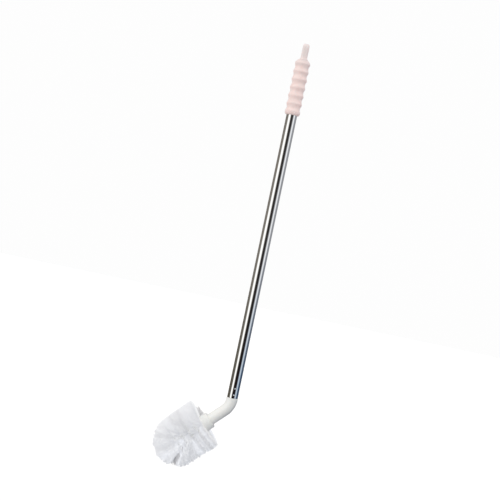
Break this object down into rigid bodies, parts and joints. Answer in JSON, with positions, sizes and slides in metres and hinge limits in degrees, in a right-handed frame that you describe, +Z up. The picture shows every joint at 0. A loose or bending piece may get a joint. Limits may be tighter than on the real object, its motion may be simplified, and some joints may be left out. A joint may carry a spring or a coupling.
{
  "type": "toilet brush",
  "caption": "Long-handled toilet brush: ribbed soft grip with a hanging tab, polished tube, angled elbow and a round-nosed bristle head that pulls off.",
  "frame": {"origin": "centre of the hanging eye in the tab at the grip's top", "axes": "+Z up along the handle; the brush head leans towards -X; the eye runs along X"},
  "size_m": [0.1165, 0.0798, 0.6532],
  "materials": {
    "grip_rubber": "satin",
    "tube_steel": "polished",
    "moulding_plastic": "satin",
    "bristle": "matte"
  },
  "bodies": {
    "handle": {"grip": "grip_rubber", "handle_tube": "tube_steel", "elbow": "moulding_plastic"},
    "brush_head": {"brush_core": "moulding_plastic", "tuft_barrel_1_01": "bristle", "tuft_barrel_1_02": "bristle", "tuft_barrel_1_03": "bristle", "tuft_barrel_1_04": "bristle", "tuft_barrel_1_05": "bristle", "tuft_barrel_1_06": "bristle", "tuft_barrel_1_07": "bristle", "tuft_barrel_1_08": "bristle", "tuft_barrel_1_09": "bristle", "tuft_barrel_2_01": "bristle", "tuft_barrel_2_02": "bristle", "tuft_barrel_2_03": "bristle", "tuft_barrel_2_04": "bristle", "tuft_barrel_2_05": "bristle", "tuft_barrel_2_06": "bristle", "tuft_barrel_2_07": "bristle", "tuft_barrel_2_08": "bristle", "tuft_barrel_2_09": "bristle", "tuft_barrel_3_01": "bristle", "tuft_barrel_3_02": "bristle", "tuft_barrel_3_03": "bristle", "tuft_barrel_3_04": "bristle", "tuft_barrel_3_05": "bristle", "tuft_barrel_3_06": "bristle", "tuft_barrel_3_07": "bristle", "tuft_barrel_3_08": "bristle", "tuft_barrel_3_09": "bristle", "tuft_barrel_4_01": "bristle", "tuft_barrel_4_02": "bristle", "tuft_barrel_4_03": "bristle", "tuft_barrel_4_04": "bristle", "tuft_barrel_4_05": "bristle", "tuft_barrel_4_06": "bristle", "tuft_barrel_4_07": "bristle", "tuft_barrel_4_08": "bristle", "tuft_barrel_4_09": "bristle", "tuft_nose_1_01": "bristle", "tuft_nose_1_02": "bristle", "tuft_nose_1_03": "bristle", "tuft_nose_1_04": "bristle", "tuft_nose_1_05": "bristle", "tuft_nose_1_06": "bristle", "tuft_nose_1_07": "bristle", "tuft_nose_1_08": "bristle", "tuft_nose_1_09": "bristle", "tuft_nose_2_01": "bristle", "tuft_nose_2_02": "bristle", "tuft_nose_2_03": "bristle", "tuft_nose_2_04": "bristle", "tuft_nose_2_05": "bristle", "tuft_nose_2_06": "bristle", "tuft_nose_3_01": "bristle", "tuft_nose_3_02": "bristle", "tuft_nose_3_03": "bristle", "tuft_nose_3_04": "bristle", "tuft_tip": "bristle"}
  },
  "joints": [
    {"name": "head_release", "type": "slide", "parent": "handle", "child": "brush_head", "axis": [-0.7071, 0, -0.7071], "range_m": [0, 0.03]}
  ]
}
